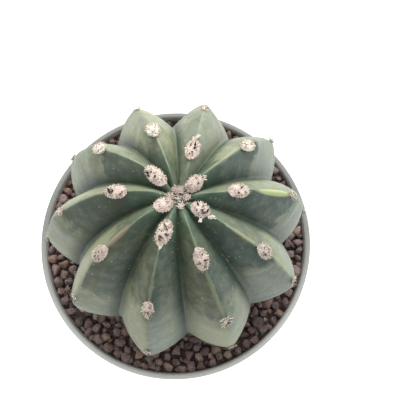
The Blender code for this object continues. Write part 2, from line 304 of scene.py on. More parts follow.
# The plastic is painted paler on its front and darker on its back, as painted light and shade. The inside
# of its collar is painted paler, as painted light that lifts its shade, and the inner edge of its lip darker,
# as painted shade. It has worn, dusty patches, and soil stains inside its collar
PLASTIC_FRONT_LIT = (0.550, 0.556, 0.537, 1.0)
PLASTIC_BACK_SHADED = (0.195, 0.198, 0.188, 1.0)
PLASTIC_INSIDE_LIT = (0.560, 0.555, 0.530, 1.0)
PLASTIC_WORN = (0.430, 0.434, 0.418, 1.0)
LIP_SHADE = (0.215, 0.210, 0.195, 1.0)
SOIL_STAIN = (0.380, 0.320, 0.290, 1.0)

plastic, tree, shader, place = new_finish("pale_grey_plastic", 0.50, 0.35)
tone_patches, tone_grain = uneven_tone(tree, place, 90.0, 2600.0)
east, north, level = put(tree, "SeparateXYZ", {0: place}).outputs
radius = length_of(tree, east, north)
in_collar = ramp(tree, level, 0.0732, 0.0745)
inside = times(tree, ramp(tree, radius, 0.05095, 0.05070, 0.0, 0.6), in_collar)
low_down = ramp(tree, level, 0.0880, 0.0835)
smear = ramp(tree, rough_noise(tree, place, 260.0, 5.0, 0.65), 0.30, 0.66, 0.10, 0.85)
stained = times(tree, inside, low_down, smear)
# Painted light and shade: the plastic is painted paler towards the front and darker towards the back
front_lit_share = ramp(tree, north, 0.014, -0.048)
# Painted light: the inside of the collar is painted paler to lift the shade that falls there
inside_lit_share = times(tree, ramp(tree, radius, 0.0511, 0.0507), in_collar)
clean = blended(tree, front_lit_share, PLASTIC_BACK_SHADED, PLASTIC_FRONT_LIT)
clean = blended(tree, inside_lit_share, clean, PLASTIC_INSIDE_LIT)
clean = blended(tree, times(tree, tone_patches, 0.08), clean, PLASTIC_WORN)
# Painted shade on the inner edge of the lip
lip_shade_share = times(tree, ramp(tree, radius, 0.0519, 0.0511, 0.0, 0.35), in_collar)
clean = blended(tree, lip_shade_share, clean, LIP_SHADE)
coloured = blended(tree, stained, clean, SOIL_STAIN)
tree.links.new(coloured, shader.inputs["Base Color"])
tree.links.new(ramp(tree, tone_grain, 0.0, 1.0, 0.46, 0.60), shader.inputs["Roughness"])
bump(tree, shader, tone_grain, 0.15, 0.0001)
pot.data.materials.clear()
pot.data.materials.append(plastic)
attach(pot, "root")
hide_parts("pot")

# The potting mix: dark peat and bark that fills the pot under the grit. Its solid's shape is right, so it
# only gets a crumbly finish. It shows through the drain holes.

DARK_PEAT = (0.020, 0.013, 0.009, 1.0)
BROWN_BARK = (0.085, 0.052, 0.032, 1.0)
PALE_CRUMB = (0.160, 0.120, 0.090, 1.0)

mix_finish, tree, shader, place = new_finish("dark_potting_mix", 0.95, 0.2)
mix_patches, mix_grain = uneven_tone(tree, place, 420.0, 2400.0)
crumbs = put(tree, "TexVoronoi", {"Vector": place, "Scale": 900.0})
mixed = blended(tree, mix_patches, DARK_PEAT, BROWN_BARK)
mixed = blended(tree, times(tree, mix_grain, 0.5), mixed, PALE_CRUMB)
tree.links.new(mixed, shader.inputs["Base Color"])
bump(tree, shader, crumbs.outputs["Distance"], 0.8, 0.0006)
potting_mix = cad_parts["potting_mix"]
potting_mix.data.materials.clear()
potting_mix.data.materials.append(mix_finish)

# The cactus's skin: a waxy grey-green globe of ten broad ribs with sharp creases between them, which grew
# as one body. A sphere's points are moved on to the ribs, with a fold under each woolly areole.

PLANT_PLACE = (0.0015, -0.0002, 0.08475)
PLANT_LEAN = (math.radians(-2.1), math.radians(1.5), 0.0)
CREST_REACH = 0.0446
VALLEY_REACH = 0.0362
WIDEST_LEVEL = 0.0242
CREST_TOP = 0.0664
UNDERSIDE = -0.0115
CROWN_DIMPLE = 0.0032
CROWN_WIDTH = 0.0068
CREST_CURVE = (2.28, 1.89)
VALLEY_CURVE = (1.85, 1.60)
# How full the ribs' flanks are, near the crown and at the widest level: 1 is flat
RIB_FULLNESS = (1.20, 1.04)
CREST_ROUNDING = 0.05
# Each rib: the way it faces at its widest, how far it twists on its way to the crown, its reach
# against the common one, and how far down its crest the first full areole sits
Rib = namedtuple("Rib", "azimuth twist reach first")
RIBS = (
    Rib(9, -3, 1.00, 0.0182),
    Rib(42, -2, 1.00, 0.0064),
    Rib(78, -6, 1.00, 0.0152),
    Rib(112, -5, 0.99, 0.0248),
    Rib(149, -15, 1.00, 0.0092),
    Rib(185, -17, 1.03, 0.0184),
    Rib(219, -11, 1.00, 0.0052),
    Rib(257, -9, 1.00, 0.0116),
    Rib(294, -6, 1.00, 0.0194),
    Rib(332, -4, 0.99, 0.0078),
)
# The skin of each rib's two flanks, clockwise from the crest and then anticlockwise. For each: how olive
# and not blue-green it is, how pale near the crown and on the old skin, and where the old skin starts.
# The paleness is partly the skin's own and partly painted light and shade: flanks that face the light
# from behind are painted paler, flanks that face the front darker, and the lower outward faces paler
FLANKS = (
    ((0.05, 0.10, 0.98, 0.0438), (0.80, 0.70, 0.80, 0.0300)),
    ((0.05, 0.10, 1.00, 0.0343), (0.80, 0.14, 0.62, 0.0200)),
    ((0.60, 0.78, 0.88, 0.0240), (0.75, 0.42, 0.90, 0.0385)),
    ((0.95, 0.35, 0.88, 0.0190), (0.75, 0.12, 0.75, 0.0245)),
    ((0.80, 0.58, 0.70, 0.0300), (0.40, 0.00, 0.82, 0.0325)),
    ((0.80, 0.78, 0.85, 0.0300), (0.50, 0.00, 0.82, 0.0430)),
    ((0.85, 0.34, 0.90, 0.0240), (0.55, 0.10, 0.88, 0.0475)),
    ((0.95, 0.12, 0.82, 0.0380), (0.25, 0.18, 0.66, 0.0345)),
    ((0.85, 0.10, 1.00, 0.0420), (0.25, 0.16, 0.95, 0.0415)),
    ((0.20, 0.02, 0.62, 0.0365), (0.60, 0.45, 0.85, 0.0335)),
)
# The pale line on each rib's crest, partly the crest's own paler skin and partly painted light: how plain it
# is, where it fades, and how far across the rib it lies
CREST_LINES = (
    (0.15, 0.020, 0.00),
    (0.75, 0.028, 0.14),
    (0.20, 0.050, 0.00),
    (0.55, 0.022, 0.00),
    (0.30, 0.034, -0.04),
    (0.30, 0.022, 0.00),
    (0.35, 0.024, 0.00),
    (0.50, 0.034, 0.00),
    (0.55, 0.041, 0.00),
    (0.85, 0.052, 0.03),
)
# On these ribs the paler old skin, partly painted light, starts at a sharp line, and on the others it comes
# in slowly
SHARP_EDGED = (0, 1, 4)
SHARP_FADE, SOFT_FADE = 0.0013, 0.0034
AREOLE_STEPS = (0.0, 0.0235, 0.0490, 0.0690)
YOUNG_AREOLE = 0.0028
YOUNG_FROM = 0.0150
LOWEST_AREOLE = 0.0040
# The sphere's points: how many across each rib and down it, closer together near the crown and the crests
COLUMNS = 32
RINGS = 190
ALL_COLUMNS = COLUMNS * len(RIBS)
POLARS = np.pi * np.linspace(0.0, 1.0, RINGS + 1) ** 1.12
TOWARDS_CREST = 1.25
FINE = np.pi * np.linspace(0.0, 1.0, 1201)

plant = Matrix.Translation(PLANT_PLACE) @ Euler(PLANT_LEAN).to_matrix().to_4x4()


def outline(polar, reach, top, curve):
    """Radius and height on a meridian, from 0 at the crown to pi underneath."""
    height = np.where(polar < np.pi / 2, top - WIDEST_LEVEL, WIDEST_LEVEL - UNDERSIDE)
    fall = np.cos(polar)
    rise = np.sign(fall) * np.abs(fall) ** (2 / curve[1])
    return reach * np.clip(np.sin(polar), 0.0, None) ** (2 / curve[0]), WIDEST_LEVEL + height * rise


def crest(rib, polar):
    """A crest's radius, height and azimuth."""
    reach = CREST_REACH * rib.reach
    radius, level = outline(polar, reach, CREST_TOP, CREST_CURVE)
    level = level - np.where(polar < np.pi / 2, CROWN_DIMPLE * np.exp(-((radius / CROWN_WIDTH) ** 2)), 0.0)
    turned_by = np.where(polar < np.pi / 2, 1 - radius / reach, 0.0)
    return radius, level, np.radians(rib.azimuth + rib.twist * turned_by)


def crest_run(rib, polar):
    """The distance along a crest from the crown."""
    radius, level, _ = crest(rib, FINE)
    steps = np.hypot(np.diff(radius), np.diff(level))
    return np.interp(polar, FINE, np.concatenate(([0.0], np.cumsum(steps))))


def areoles(rib):
    """The distances down a crest at which its areoles sit, youngest first."""
    found = [YOUNG_AREOLE] if rib.first > YOUNG_FROM else []
    run = crest_run(rib, FINE)
    level = crest(rib, FINE)[1]
    for step in AREOLE_STEPS:
        if step == 0.0 or np.interp(rib.first + step, run, level) > LOWEST_AREOLE:
            found.append(rib.first + step)
    return found


def folds(run, spots, across):
    """How far the skin swells between areoles, and dips at each: most on the crest, less on the flanks."""
    swell = np.zeros_like(run)
    for spot in spots:
        swell += 0.0007 * np.exp(-(((run - spot) / 0.0050 - 1) ** 2)) * (1 - across) ** 1.2
        beyond = np.clip((run - spot - 0.0020) / 0.0060, 0.0, 1.0)
        swell += 0.0004 * np.sin(np.pi * beyond) * np.exp(-((across - 0.45) / 0.35) ** 2)
    return swell


bpy.ops.mesh.primitive_uv_sphere_add(segments=ALL_COLUMNS, ring_count=RINGS, radius=1.0)
skin = bpy.context.object
skin.name = "ribbed_skin"
points = np.empty(len(skin.data.vertices) * 3)
skin.data.vertices.foreach_get("co", points)
points = points.reshape(-1, 3)
ring = np.rint(np.arccos(np.clip(points[:, 2], -1.0, 1.0)) / np.pi * RINGS).astype(int)
column = np.rint(np.arctan2(points[:, 1], points[:, 0]) / math.tau * ALL_COLUMNS).astype(int)
rib_number, side = np.divmod(column % ALL_COLUMNS, COLUMNS)
# A point's share of the way from its crest to the crease: below 0 clockwise of the crest, above 0 past it
share = 2.0 * side / COLUMNS - 1.0
share = np.sign(share) * np.abs(share) ** TOWARDS_CREST
across = np.abs(share)
polar = POLARS[ring]
low_radius, low_level = outline(polar, VALLEY_REACH, CREST_TOP - CROWN_DIMPLE, VALLEY_CURVE)
run = np.zeros(len(points))
for number, rib in enumerate(RIBS):
    own = rib_number == number
    radius, level, azimuth = crest(rib, polar[own])
    last = len(RIBS) - 1
    before = crest(RIBS[number - 1], polar[own])[2] - (math.tau if number == 0 else 0.0)
    after = crest(RIBS[(number + 1) % len(RIBS)], polar[own])[2] + (math.tau if number == last else 0.0)
    other = np.where(share[own] < 0.0, before, after)
    azimuth = azimuth + across[own] * (other - azimuth) / 2
    down = np.clip((polar[own] / np.pi - 0.22) / 0.28, 0.0, 1.0)
    power = RIB_FULLNESS[0] + (RIB_FULLNESS[1] - RIB_FULLNESS[0]) * down
    height = 1 - (np.hypot(across[own], CREST_ROUNDING) - CREST_ROUNDING) ** power
    run[own] = crest_run(rib, polar[own])
    swell = folds(run[own], areoles(rib), across[own])
    radius = low_radius[own] + (radius - low_radius[own]) * height + swell * np.sin(polar[own])
    level = low_level[own] + (level - low_level[own]) * height + swell * np.cos(polar[own])
    points[own] = np.column_stack((radius * np.cos(azimuth), radius * np.sin(azimuth), level))
# Each point's flank settings, whose paleness is partly painted light and shade
flank = np.array(FLANKS)[rib_number, (share > 0.0).astype(int)]
crest_line = np.array(CREST_LINES)[rib_number]
for index in range(len(points)):
    spot = Vector(points[index])
    rough = noise.noise(spot * 85.0) * 0.00035 + noise.noise(spot * 320.0) * 0.00006
    points[index] += np.array(spot.normalized()) * rough * min(1.0, run[index] / 0.006)
skin.data.vertices.foreach_set("co", points.ravel())
skin.data.transform(plant)
for name, values in (
    ("share", share),
    ("across", across),
    ("run", run),
    ("rib", rib_number.astype(float)),
    ("warmth", flank[:, 0]),
    ("young_pale_and_lit", flank[:, 1]),
    ("old_pale_and_lit", flank[:, 2]),
    ("old_and_lit_from", flank[:, 3]),
    ("old_and_lit_fade", np.where(np.isin(rib_number, SHARP_EDGED), SHARP_FADE, SOFT_FADE)),
    ("line_strength", crest_line[:, 0]),
    ("line_end", crest_line[:, 1]),
    ("off_line", np.abs(share - crest_line[:, 2])),
):
    skin.data.attributes.new(name, "FLOAT", "POINT").data.foreach_set("value", np.ascontiguousarray(values))
bpy.ops.object.shade_smooth()
bpy.ops.object.mode_set(mode="EDIT")
bpy.ops.mesh.select_all(action="SELECT")
bpy.ops.mesh.normals_make_consistent(inside=False)
bpy.ops.object.mode_set(mode="OBJECT")

DARK_TEAL = (0.035, 0.062, 0.051, 1.0)
DARK_OLIVE = (0.053, 0.062, 0.033, 1.0)
PALE_TEAL = (0.168, 0.200, 0.160, 1.0)
PALE_OLIVE = (0.198, 0.213, 0.123, 1.0)
YOUNG_GREEN = (0.048, 0.100, 0.058, 1.0)
CREASE_SHADE = (0.016, 0.036, 0.022, 1.0)
SKIN_BLOOM = (0.240, 0.260, 0.205, 1.0)
CREST_LINE = (0.235, 0.275, 0.165, 1.0)
CREST_SCAR = (0.210, 0.165, 0.115, 1.0)
FLECK = (0.450, 0.460, 0.400, 1.0)
SUN_STREAK = (0.340, 0.400, 0.170, 1.0)

skin_finish, tree, shader, place = new_finish("grey_green_skin", 0.55, 0.35)
tone_patches, tone_grain = uneven_tone(tree, place, 95.0, 1900.0)
side_share = attribute(tree, "share")
crest_share = attribute(tree, "across")
run_down = attribute(tree, "run")
rib_here = attribute(tree, "rib")


def stretched_noise(around, along, detail):
    """Noise that is drawn out along the ribs, from 0 to 1."""
    over, down = times(tree, side_share, around), times(tree, run_down, along)
    spot = put(tree, "CombineXYZ", {0: over, 1: down, 2: times(tree, rib_here, 3.7)}).outputs[0]
    return rough_noise(tree, spot, 1.0, detail, 0.6)


def off_middle(value, start, end):
    """How far a value is from the middle of a range, with -1 and 1 at the range's ends."""
    return put(tree, "MapRange", {"Value": value, 1: start, 2: end, 3: -1.0, 4: 1.0}, clamp=False).outputs[0]


def mark(rib, start, end, low, high):
    """A pointed patch on one rib, between two distances from the crown and two places across the rib."""
    along, over = off_middle(run_down, start, end), off_middle(side_share, low, high)
    off_rib = times(tree, minus(tree, rib_here, float(rib)), 20.0)
    return ramp(tree, length_of(tree, along, over, off_rib), 1.0, 0.60)


fine_streaks = stretched_noise(4.5, 330.0, 4.0)
broad_streaks = stretched_noise(2.6, 85.0, 3.0)
warm = plus(tree, attribute(tree, "warmth"), ramp(tree, broad_streaks, 0.35, 0.65, -0.30, 0.30))
dark = blended(tree, warm, DARK_TEAL, DARK_OLIVE)
pale = blended(tree, warm, PALE_TEAL, PALE_OLIVE)

# How far the skin is past the edge of the old skin, and how pale that leaves it: partly the skin's own
# paleness and partly painted light and shade on each flank
beyond = plus(
    tree,
    minus(tree, run_down, attribute(tree, "old_and_lit_from")),
    ramp(tree, broad_streaks, 0.30, 0.70, -0.0025, 0.0025),
    ramp(tree, fine_streaks, 0.30, 0.70, -0.0008, 0.0008),
)
beyond = put(tree, "Math", {0: beyond, 1: attribute(tree, "old_and_lit_fade")}, operation="DIVIDE").outputs[0]
older_and_lit = ramp(tree, beyond, -1.0, 1.0)
pale_range = {0: older_and_lit, 2: attribute(tree, "young_pale_and_lit"), 3: attribute(tree, "old_pale_and_lit")}
paleness_and_light = plus(
    tree,
    put(tree, "Mix", pale_range, data_type="FLOAT").outputs[0],
    ramp(tree, rough_noise(tree, place, 330.0, 4.0, 0.7), 0.32, 0.68, -0.09, 0.22),
    ramp(tree, tone_patches, 0.0, 1.0, -0.08, 0.08),
    ramp(tree, crest_share, 0.50, 0.15, 0.0, -0.07),
    ramp(tree, fine_streaks, 0.30, 0.70, -0.08, 0.08),
)
green = blended(tree, paleness_and_light, dark, pale)
young = times(tree, ramp(tree, run_down, 0.021, 0.008, 0.0, 0.55), ramp(tree, paleness_and_light, 0.7, 0.2, 0.35, 1.0))
green = blended(tree, young, green, YOUNG_GREEN)
green = blended(tree, ramp(tree, fine_streaks, 0.55, 0.75, 0.0, 0.14), green, SKIN_BLOOM)

# Painted shade in the creases between the ribs, laid deeper on one flank than the other
crease = times(
    tree,
    ramp(tree, crest_share, 0.55, 0.97),
    ramp(tree, side_share, -0.2, 0.2, 0.30, 1.0),
    ramp(tree, run_down, 0.012, 0.042, 0.55, 1.0),
)
green = blended(tree, crease, green, CREASE_SHADE)
# Painted shade along the bottom of each crease
green = blended(tree, ramp(tree, crest_share, 0.93, 0.99, 0.0, 0.55), green, CREASE_SHADE)

# The pale lines on the crests, partly the crests' own paler skin and partly painted light, a scar beside one
# and a sunlit streak on another
line_width = ramp(tree, broad_streaks, 0.35, 0.65, 0.055, 0.125)
past_end = minus(tree, run_down, attribute(tree, "line_end"))
line = times(
    tree,
    ramp(tree, attribute(tree, "off_line"), line_width, 0.02),
    ramp(tree, past_end, 0.003, -0.003, 0.12, 1.0),
    ramp(tree, fine_streaks, 0.30, 0.55, 0.55, 1.0),
    attribute(tree, "line_strength"),
)
green = blended(tree, line, green, CREST_LINE)
green = blended(tree, times(tree, mark(6, 0.0150, 0.0275, -0.16, 0.14), 0.75), green, CREST_SCAR)
green = blended(tree, times(tree, mark(0, 0.0225, 0.0420, -0.15, 0.13), 0.85), green, SUN_STREAK)

# White flecks in loose groups
flecks = put(tree, "TexVoronoi", {"Vector": place, "Scale": 620.0}).outputs["Distance"]
fleck_groups = rough_noise(tree, place, 210.0, 2.0, 0.5)
flecks = times(tree, ramp(tree, flecks, 0.20, 0.11), ramp(tree, fleck_groups, 0.50, 0.62), 0.45)
green = blended(tree, flecks, green, FLECK)
green = blended(tree, ramp(tree, tone_grain, 0.0, 1.0, 0.0, 0.05), green, SKIN_BLOOM)
tree.links.new(green, shader.inputs["Base Color"])
tree.links.new(ramp(tree, tone_grain, 0.0, 1.0, 0.48, 0.64), shader.inputs["Roughness"])
skin_relief = bump(tree, shader, fine_streaks, 0.20, 0.0008)
bump(tree, shader, tone_grain, 0.25, 0.00015, under=skin_relief)
skin.data.materials.append(skin_finish)
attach(skin, "root")
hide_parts("cactus")

# The areoles' wool: cushions of short cream-pink felt that grow from the crests, browner near the crown
# and yellower low down. Lumpy cushions are set on the skin, and curled hairs stand from them.

# How far down a rib the areoles are still buds, are small, are full pads, and are thick with hairs
BUDS_TO = 0.0040
SMALL_TO = 0.0085
PADS_TO = 0.0300
HAIRY_TO = 0.0340


def surface_of(mesh):
    """A mesh's surface, on which places can be found."""
    faces = [face.vertices for face in mesh.polygons]
    return BVHTree.FromPolygons([point.co for point in mesh.vertices], faces)


skin_surface = surface_of(skin.data)


def areole_seat(rib, distance):
    """The seat of an areole on the finished skin: X runs down the rib, Y across it and Z outwards."""
    polar_here = float(np.interp(distance, crest_run(rib, FINE), FINE))
    radius, level, azimuth = (float(value) for value in crest(rib, polar_here))
    below = [float(value) for value in crest(rib, polar_here + 0.02)]
    down = Vector((below[0] - radius, 0.0, below[1] - level)).normalized()
    side_on = Vector((0.0, 1.0, 0.0))
    out = down.cross(side_on)
    turn = Matrix((down, side_on, out)).transposed().to_4x4()
    seat = plant @ Matrix.Rotation(azimuth, 4, "Z") @ Matrix.Translation((radius, 0.0, level)) @ turn
    outwards = (seat.to_3x3() @ Vector((0.0, 0.0, 1.0))).normalized()
    hit = skin_surface.ray_cast(seat.translation + outwards * 0.004, -outwards)
    if hit[0]:
        seat.translation = hit[0]
    return seat


def wool_size(distance):
    """Length, width and height of the wool on an areole: full near the crown, worn low down."""
    if distance < BUDS_TO:
        return 0.0022, 0.0019, 0.0010
    if distance < SMALL_TO:
        return 0.0060, 0.0044, 0.0021
    length = 0.0080 - 0.0042 * min(1.0, (distance - SMALL_TO) / 0.055)
    worn = min(1.0, distance / 0.070)
    return length, 0.0047 - 0.0018 * worn, 0.0022 - 0.0014 * worn


def place_on(around, out_by, length, width):
    """A spot's places along and across an areole, from its direction and its share of the way out."""
    return math.cos(around) * out_by * length / 2, math.sin(around) * out_by * width / 2


def leaning(facing, tip_down):
    """Turns a thing to face a way and tips it down from upright."""
    return Matrix.Rotation(facing, 4, "Z") @ Matrix.Rotation(tip_down, 4, "Y")


def shape_arrays(source):
    """A shape's points and triangles as arrays, and the shape itself is removed."""
    points = np.array([vertex.co for vertex in source.data.vertices])
    source.data.calc_loop_triangles()
    triangles = np.array([triangle.vertices for triangle in source.data.loop_triangles])
    bpy.data.objects.remove(source)
    return points, triangles


def strewn(name, shapes, places):
    """One piece made of copies of small shapes, each at its own matrix and with its own tone."""
    points, triangles, tones, count = [], [], [], 0
    for number, matrix, tone in places:
        shape_points, shape_triangles = shapes[number]
        turn = np.array(matrix)
        points.append(shape_points @ turn[:3, :3].T + turn[:3, 3])
        triangles.append(shape_triangles + count)
        tones.append(np.full(len(shape_points), tone))
        count += len(shape_points)
    mesh = bpy.data.meshes.new(name)
    mesh.from_pydata(np.concatenate(points), [], np.concatenate(triangles))
    mesh.attributes.new("tone", "FLOAT", "POINT").data.foreach_set("value", np.concatenate(tones))
    mesh.shade_smooth()
    piece = bpy.data.objects.new(name, mesh)
    bpy.context.scene.collection.objects.link(piece)
    return piece


def cushion_shape(seed, fineness):
    """A lumpy cushion of felt with a ragged edge, 2 across and 1 high above its middle."""
    bpy.ops.mesh.primitive_ico_sphere_add(subdivisions=fineness, radius=1.0)
    cushion = bpy.context.object
    for vertex in cushion.data.vertices:
        spot = vertex.co.copy()
        offset = Vector((seed * 7.3, seed * 3.1, 0.0))
        lump = 0.13 * noise.noise(spot * 2.4 + offset) + 0.10 * noise.noise(spot * 7.5 + offset)
        edge = 0.14 * noise.noise(Vector((math.atan2(spot.y, spot.x) * 2.2, seed * 5.0, 0.0)))
        vertex.co = spot * (1.0 + lump + edge * (1 - abs(spot.z)))
        vertex.co.z = max(vertex.co.z, -0.35)
    return shape_arrays(cushion)


def hair_shape(sides, segments, thickness, bend, curl):
    """A thin hair that stands on the origin, 1 high, tapered to a point, bent and curled."""
    bpy.ops.mesh.primitive_cone_add(
        vertices=sides, radius1=thickness, radius2=0.0, depth=1.0, location=(0.0, 0.0, 0.5)
    )
    hair = bpy.context.object
    bpy.ops.object.transform_apply(location=True)
    body = bmesh.new()
    body.from_mesh(hair.data)
    for step in range(1, segments):
        level = 1.0 - (1.0 - step / segments) ** 0.9
        whole = body.verts[:] + body.edges[:] + body.faces[:]
        bmesh.ops.bisect_plane(body, geom=whole, plane_co=(0.0, 0.0, level), plane_no=(0.0, 0.0, 1.0))
    for point in body.verts:
        up = point.co.z
        swing = curl * up * math.tau
        point.co.x *= 1.0 + 0.9 * up
        point.co.y *= 1.0 + 0.9 * up
        point.co.x += bend * up**2 + 0.10 * curl * (math.cos(swing) - 1.0)
        point.co.y += 0.10 * curl * math.sin(swing)
    body.to_mesh(hair.data)
    body.free()
    return shape_arrays(hair)


def tuft_shape(seed):
    """A small curl of wool, 2 long, 1 wide and 1 high, lumpy all over."""
    bpy.ops.mesh.primitive_ico_sphere_add(subdivisions=2, radius=1.0)
    tuft = bpy.context.object
    for vertex in tuft.data.vertices:
        lump = 1.0 + 0.45 * noise.noise(vertex.co * 1.9 + Vector((seed * 4.7, 0.0, 0.0)))
        vertex.co = Vector((vertex.co.x, vertex.co.y * 0.5, vertex.co.z * 0.5)) * lump
    return shape_arrays(tuft)


draw = random.Random(21)
seats = []
for number, rib in enumerate(RIBS):
    for order, distance in enumerate(areoles(rib)):
        seats.append((number, order, distance, areole_seat(rib, distance), wool_size(distance)))

# The shapes of the wool in one row: five cushions, then six tufts, then five cushions for small areoles
CUSHIONS = 5
TUFTS = range(CUSHIONS, CUSHIONS + 6)
SMALL_CUSHIONS = TUFTS.stop
wool_shapes = [cushion_shape(seed, 4) for seed in range(CUSHIONS)]
wool_shapes += [tuft_shape(seed) for seed in range(len(TUFTS))]
wool_shapes += [cushion_shape(seed, 3) for seed in range(CUSHIONS)]


def tuft_at(seat, along, across, up, facing, rise, length, thickness, tone):
    """A tuft's shape, matrix and tone: at a spot on a seat, turned to face a way and tipped up."""
    spot = seat @ Matrix.Translation((along, across, up)) @ leaning(facing, -rise)
    return draw.choice(TUFTS), spot @ Matrix.Diagonal((length / 2, thickness, thickness, 1.0)), tone


# The wool of each kind of areole: the pad's share of its full size, how many tufts edge it, how far out
# they stand, their length and thickness, how many curls lie on it, and its lowest and highest tone
AREOLE_KINDS = {
    "bud": (0.55, 16, (0.50, 1.00), 0.0010, 0.00028, 10, (0.35, 0.80)),
    "pad": (0.93, 40, (0.84, 0.95), 0.0009, 0.00036, 34, (0.45, 0.85)),
    "ring": (0.90, 30, (0.86, 1.00), 0.0010, 0.00034, 26, (0.55, 0.85)),
    "speckled": (0.95, 34, (0.85, 1.10), 0.0009, 0.00030, 34, (0.80, 1.00)),
    "ragged": (0.80, 26, (0.62, 0.88), 0.0009, 0.00034, 26, (0.45, 0.85)),
    "star": (0.40, 12, (0.50, 0.85), 0.0020, 0.00034, 8, (0.80, 0.85)),
    "sparse": (0.25, 14, (0.35, 0.90), 0.0009, 0.00026, 16, (0.70, 1.00)),
}
# The areoles whose wool isn't of the kind that their distance from the crown gives: rib and order down it
NAMED_KINDS = {
    (1, 1): "speckled",
    (3, 1): "speckled",
    (4, 1): "speckled",
    (9, 1): "ring",
    (7, 1): "ragged",
    (8, 2): "star",
}


def areole_kind(number, order, distance):
    """The kind of wool that an areole has."""
    if distance < BUDS_TO:
        return "bud"
    return NAMED_KINDS.get((number, order), "pad" if distance < PADS_TO else "sparse")


wool_places = []
for number, order, distance, seat, (length, width, height) in seats:
    kind = areole_kind(number, order, distance)
    pad, edging, edge, tuft_length, tuft_thickness, curls, (low_tone, high_tone) = AREOLE_KINDS[kind]
    sized = Matrix.Diagonal((length / 2 * pad, width / 2 * pad, height * 0.50, 1.0))
    turn = Matrix.Rotation(draw.choice((0.0, math.pi)), 4, "Z")
    cushion = draw.randrange(CUSHIONS) + (SMALL_CUSHIONS if kind in ("bud", "sparse") else 0)
    wool_places.append((cushion, seat @ turn @ sized, (low_tone + high_tone) / 2))
    for step in range(edging):
        around = math.tau * (step + draw.uniform(-0.4, 0.4)) / edging
        spot = place_on(around, draw.uniform(*edge), length, width)
        facing = math.atan2(math.sin(around) * length, math.cos(around) * width) + draw.uniform(-0.4, 0.4)
        size, thick = tuft_length * draw.uniform(0.75, 1.25), tuft_thickness * draw.uniform(0.8, 1.2)
        tone, rise = draw.uniform(low_tone, high_tone) + 0.10, draw.uniform(0.05, 0.55)
        wool_places.append(tuft_at(seat, *spot, 0.0003, facing, rise, size, thick, tone))
    for _ in range(curls):
        around = draw.uniform(0.0, math.tau)
        out_by = math.sqrt(draw.random()) * 0.88
        spot = place_on(around, out_by, length, width)
        up = height * (0.30 + 0.20 * pad) * math.sqrt(1 - out_by**2)
        tone = 0.10 if draw.random() < 0.25 else draw.uniform(low_tone - 0.1, high_tone)
        size, thick = draw.uniform(0.0006, 0.0011), draw.uniform(0.00015, 0.00023)
        facing, rise = draw.uniform(0.0, math.tau), draw.uniform(-0.2, 0.4)
        wool_places.append(tuft_at(seat, *spot, up, facing, rise, size, thick, tone))

# The knot of young wool in the crown's dimple
knot_seat = plant @ Matrix.Translation((0.0, 0.0, CREST_TOP - CROWN_DIMPLE - 0.0002))
for _ in range(64):
    away, around = draw.uniform(0.0, 0.0030), draw.uniform(0.0, math.tau)
    spot = away * math.cos(around), away * math.sin(around), 0.0003 + 0.12 * away
    tone = draw.choice((0.1, 0.4, 0.6, 0.7, 0.8, 0.9))
    facing, rise, size = draw.uniform(0.0, math.tau), draw.uniform(0.0, 0.9), draw.uniform(0.0009, 0.0016)
    wool_places.append(tuft_at(knot_seat, *spot, facing, rise, size, 0.00026, tone))

# Loose tufts that trail from a few areoles: rib, order down the rib, place along and across the areole,
# and the way they point
for number, order, along, across_by, facing in (
    (9, 0, 0.0036, -0.0006, -0.2), (9, 0, 0.0046, -0.0002, 0.1), (9, 0, 0.0016, -0.0026, -1.3),
    (2, 1, 0.0040, 0.0006, 0.4), (2, 1, 0.0050, -0.0004, -0.3), (1, 0, 0.0034, -0.0008, -0.5),
    (7, 0, 0.0040, 0.0004, 0.1), (7, 0, 0.0034, -0.0006, 0.3), (7, 1, 0.0030, 0.0002, 0.0),
):
    seat = [place[3] for place in seats if place[:2] == (number, order)][0]
    for _ in range(8):
        spot = along + draw.uniform(-0.0005, 0.0005), across_by + draw.uniform(-0.0005, 0.0005), 0.0003
        turned_to, rise = facing + draw.uniform(-0.6, 0.6), draw.uniform(0.0, 0.4)
        size = draw.uniform(0.0009, 0.0016)
        wool_places.append(tuft_at(seat, *spot, turned_to, rise, size, 0.00030, draw.uniform(0.7, 0.95)))
wool = strewn("areole_wool", wool_shapes, wool_places)

# The hairs: each of their shapes has its bend and its curl
HAIR_BENDS = ((0.35, 0.6), (-0.3, 0.9), (0.5, 1.3), (0.1, 1.6))
hairs = [hair_shape(3, 4, 0.022, bend, curl) for bend, curl in HAIR_BENDS]
hair_places = []
for _, _, distance, seat, (length, width, height) in seats:
    for _ in range(24 if distance < BUDS_TO else 110 if distance < HAIRY_TO else 50):
        around = draw.uniform(0.0, math.tau)
        out_by = math.sqrt(draw.uniform(0.1, 1.0))
        up = height * 0.46 * math.sqrt(max(0.0, 1 - out_by**2))
        root = Matrix.Translation((*place_on(around, out_by, length, width), up))
        lean = leaning(around, out_by * 1.25) @ Matrix.Rotation(draw.uniform(0.0, math.tau), 4, "Z")
        matrix = seat @ root @ lean @ Matrix.Scale(draw.uniform(0.0006, 0.0012), 4)
        hair_places.append((draw.randrange(len(hairs)), matrix, draw.uniform(0.5, 1.0)))
wool_hairs = strewn("areole_hairs", hairs, hair_places)


def toned(tree, first, last, between):
    """The colour of a tuft or grain by its own tone, from the first at 0 to the last at 1."""
    tones = put(tree, "ValToRGB", {0: attribute(tree, "tone")})
    stops = tones.color_ramp.elements
    stops[0].color = first
    stops[1].color = last
    for position, colour in between:
        stops.new(position).color = colour
    return tones.outputs[0]


